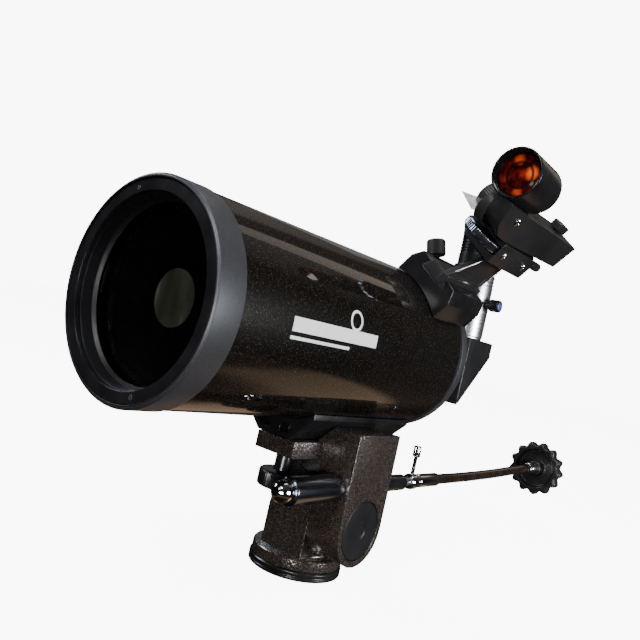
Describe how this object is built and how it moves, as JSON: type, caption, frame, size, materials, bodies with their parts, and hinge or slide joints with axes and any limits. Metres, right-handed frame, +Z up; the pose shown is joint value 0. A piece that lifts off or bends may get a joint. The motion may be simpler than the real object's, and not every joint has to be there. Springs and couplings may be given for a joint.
{
  "type": "maksutov telescope",
  "caption": "Short closed-tube telescope with a star diagonal, eyepiece and red dot finder, on a slow-motion altitude head with a flexible control cable.",
  "frame": {"origin": "centre of the flat tripod seat under the base, straight below the altitude axle", "axes": "+Y from the front lens to the eyepiece, +Z up, +X to the side with the worm drive and the finder"},
  "size_m": [0.1634, 0.4545, 0.2756],
  "materials": {
    "tube_paint": "black gloss paint with fine bronze metal flake",
    "cell_paint": "fine-grained dark grey satin paint",
    "black_metal": "smooth satin black anodised metal",
    "hammertone": "black-brown hammered enamel on a casting",
    "black_plastic": "semi-matt moulded black plastic",
    "rubber": "matt black rubber",
    "cable_cover": "dark glossy plastic sleeve",
    "chrome": "polished chrome plate",
    "satin_silver": "satin silver turned aluminium",
    "steel": "turned steel",
    "brass": "machined brass",
    "glass": "clear glass with a dark green-blue coating",
    "mirror": "vacuum-deposited aluminium",
    "red_glass": "glass with a red-orange coating",
    "film": "thin translucent plastic film"
  },
  "bodies": {
    "base": {"base_disc": "black_metal"},
    "turntable": {"fork_column": "hammertone", "altitude_axle": "steel", "worm_wheel": "brass"},
    "head": {"saddle_casting": "hammertone", "wheel_cover": "black_plastic", "worm_housing": "black_metal", "worm_bush": "black_metal", "slow_motion_cable": "cable_cover", "mounting_foot": "black_metal", "foot_screw_1": "steel", "foot_screw_2": "steel", "optical_tube": "tube_paint", "front_cell": "cell_paint", "retaining_ring": "black_metal", "corrector_lens": "glass", "secondary_spot": "mirror", "corrector_lock_ring": "black_metal", "rear_cell": "cell_paint", "baffle_tube": "black_metal", "visual_back": "black_metal", "finder_shoe": "black_metal"},
    "worm": {"worm_shaft": "steel", "shaft_end_cap": "chrome", "cable_collar": "chrome", "collar_thumbscrew": "chrome", "cable_ferrule": "chrome"},
    "cable_knob": {"control_knob": "black_plastic", "knob_ferrule": "chrome"},
    "saddle_clamp": {"clamp_knob": "black_metal"},
    "focuser": {"focus_knob": "rubber", "focus_shaft": "brass"},
    "mirror": {"primary_mirror": "mirror", "mirror_carrier": "steel"},
    "back_screw": {"visual_back_thumbscrew": "chrome"},
    "diagonal": {"diagonal_nosepiece": "chrome", "diagonal_housing": "black_plastic", "diagonal_cover": "black_plastic", "diagonal_mirror": "mirror", "eyepiece_holder": "satin_silver"},
    "eyepiece_screw": {"eyepiece_thumbscrew": "black_metal"},
    "eyepiece": {"eyepiece_barrel": "chrome", "eyepiece_body": "black_metal", "eyecup": "rubber", "eye_lens": "glass", "field_lens": "glass"},
    "shoe_screw": {"shoe_thumbscrew": "black_plastic"},
    "finder_bracket": {"finder_arm": "black_plastic"},
    "finder_base": {"finder_base_block": "black_plastic"},
    "pan_wheel": {"azimuth_wheel": "black_metal"},
    "finder": {"finder_body": "black_plastic", "battery_housing": "black_plastic", "coin_cell": "steel", "battery_pull_tab": "film", "finder_lens_tube": "black_metal", "finder_lens": "red_glass", "led_housing": "black_plastic"},
    "dial": {"brightness_dial": "black_plastic"},
    "tilt_knob": {"altitude_knob": "black_metal"}
  },
  "joints": [
    {"name": "azimuth_turn", "type": "hinge", "parent": "base", "child": "turntable", "pos_m": [0, 0, 0], "axis": [0, 0, 1], "continuous": true},
    {"name": "altitude_tilt", "type": "hinge", "parent": "turntable", "child": "head", "pos_m": [0, 0, 0.037], "axis": [-1, 0, 0], "range_deg": [-15, 60]},
    {"name": "worm_turn", "type": "hinge", "parent": "head", "child": "worm", "pos_m": [0.033, 0, 0.062], "axis": [0, 1, 0], "range_deg": [-540, 2160]},
    {"name": "cable_knob_turn", "type": "hinge", "parent": "head", "child": "cable_knob", "pos_m": [0.045, 0.2805, 0.07], "axis": [0, 1, 0], "range_deg": [-540, 2160]},
    {"name": "saddle_clamp_turn", "type": "hinge", "parent": "head", "child": "saddle_clamp", "pos_m": [0, -0.0335, 0.061], "axis": [0, 0, 1], "range_deg": [0, 360]},
    {"name": "focus_knob_turn", "type": "hinge", "parent": "head", "child": "focuser", "pos_m": [-0.034, 0.0765, 0.15], "axis": [0, 1, 0], "range_deg": [-1440, 1440]},
    {"name": "mirror_slide", "type": "slide", "parent": "head", "child": "mirror", "axis": [0, 1, 0], "range_m": [-0.00405, 0.00405]},
    {"name": "back_screw_turn", "type": "hinge", "parent": "head", "child": "back_screw", "pos_m": [0, 0.0845, 0.176], "axis": [0, 0, 1], "range_deg": [0, 360]},
    {"name": "diagonal_turn", "type": "hinge", "parent": "head", "child": "diagonal", "pos_m": [0, 0.1595, 0.15], "axis": [0, 1, 0], "range_deg": [-110, 110]},
    {"name": "eyepiece_screw_turn", "type": "hinge", "parent": "diagonal", "child": "eyepiece_screw", "pos_m": [0.026, 0.1595, 0.201], "axis": [1, 0, 0], "range_deg": [0, 360]},
    {"name": "eyepiece_slide", "type": "slide", "parent": "diagonal", "child": "eyepiece", "axis": [0, 0, 1], "range_m": [0, 0.035]},
    {"name": "shoe_screw_turn", "type": "hinge", "parent": "head", "child": "shoe_screw", "pos_m": [0.02836, 0.0405, 0.22101], "axis": [-0.2423, 0, 0.9702], "range_deg": [0, 360]},
    {"name": "finder_slide", "type": "slide", "parent": "head", "child": "finder_bracket", "axis": [0, 1, 0], "range_m": [0, 0.03]},
    {"name": "finder_pan", "type": "hinge", "parent": "finder_bracket", "child": "finder_base", "pos_m": [0.06358, 0.0555, 0.22497], "axis": [0.6468, 0, 0.7627], "range_deg": [-2, 2]},
    {"name": "pan_wheel_turn", "type": "hinge", "parent": "finder_base", "child": "pan_wheel", "pos_m": [0.06491, 0.0315, 0.23118], "axis": [0.6468, 0, 0.7627], "range_deg": [-90, 90]},
    {"name": "finder_tilt", "type": "hinge", "parent": "finder_base", "child": "finder", "pos_m": [0.07141, 0.0355, 0.2342], "axis": [0.7627, 0, -0.6468], "range_deg": [-2, 2]},
    {"name": "tilt_knob_turn", "type": "hinge", "parent": "finder", "child": "tilt_knob", "pos_m": [0.06953, 0.091, 0.23199], "axis": [0.6468, 0, 0.7627], "range_deg": [-90, 90]},
    {"name": "dial_turn", "type": "hinge", "parent": "finder", "child": "dial", "pos_m": [0.07079, 0.0175, 0.25203], "axis": [0.7627, 0, -0.6468], "range_deg": [0, 300]}
  ],
  "couplings": [
    {"joint": "worm_turn", "follows": "altitude_tilt", "ratio": 36},
    {"joint": "cable_knob_turn", "follows": "altitude_tilt", "ratio": 36},
    {"joint": "mirror_slide", "follows": "focus_knob_turn", "m_per_rad": 0.00015915},
    {"joint": "pan_wheel_turn", "follows": "finder_pan", "ratio": 40},
    {"joint": "tilt_knob_turn", "follows": "finder_tilt", "ratio": 40}
  ]
}
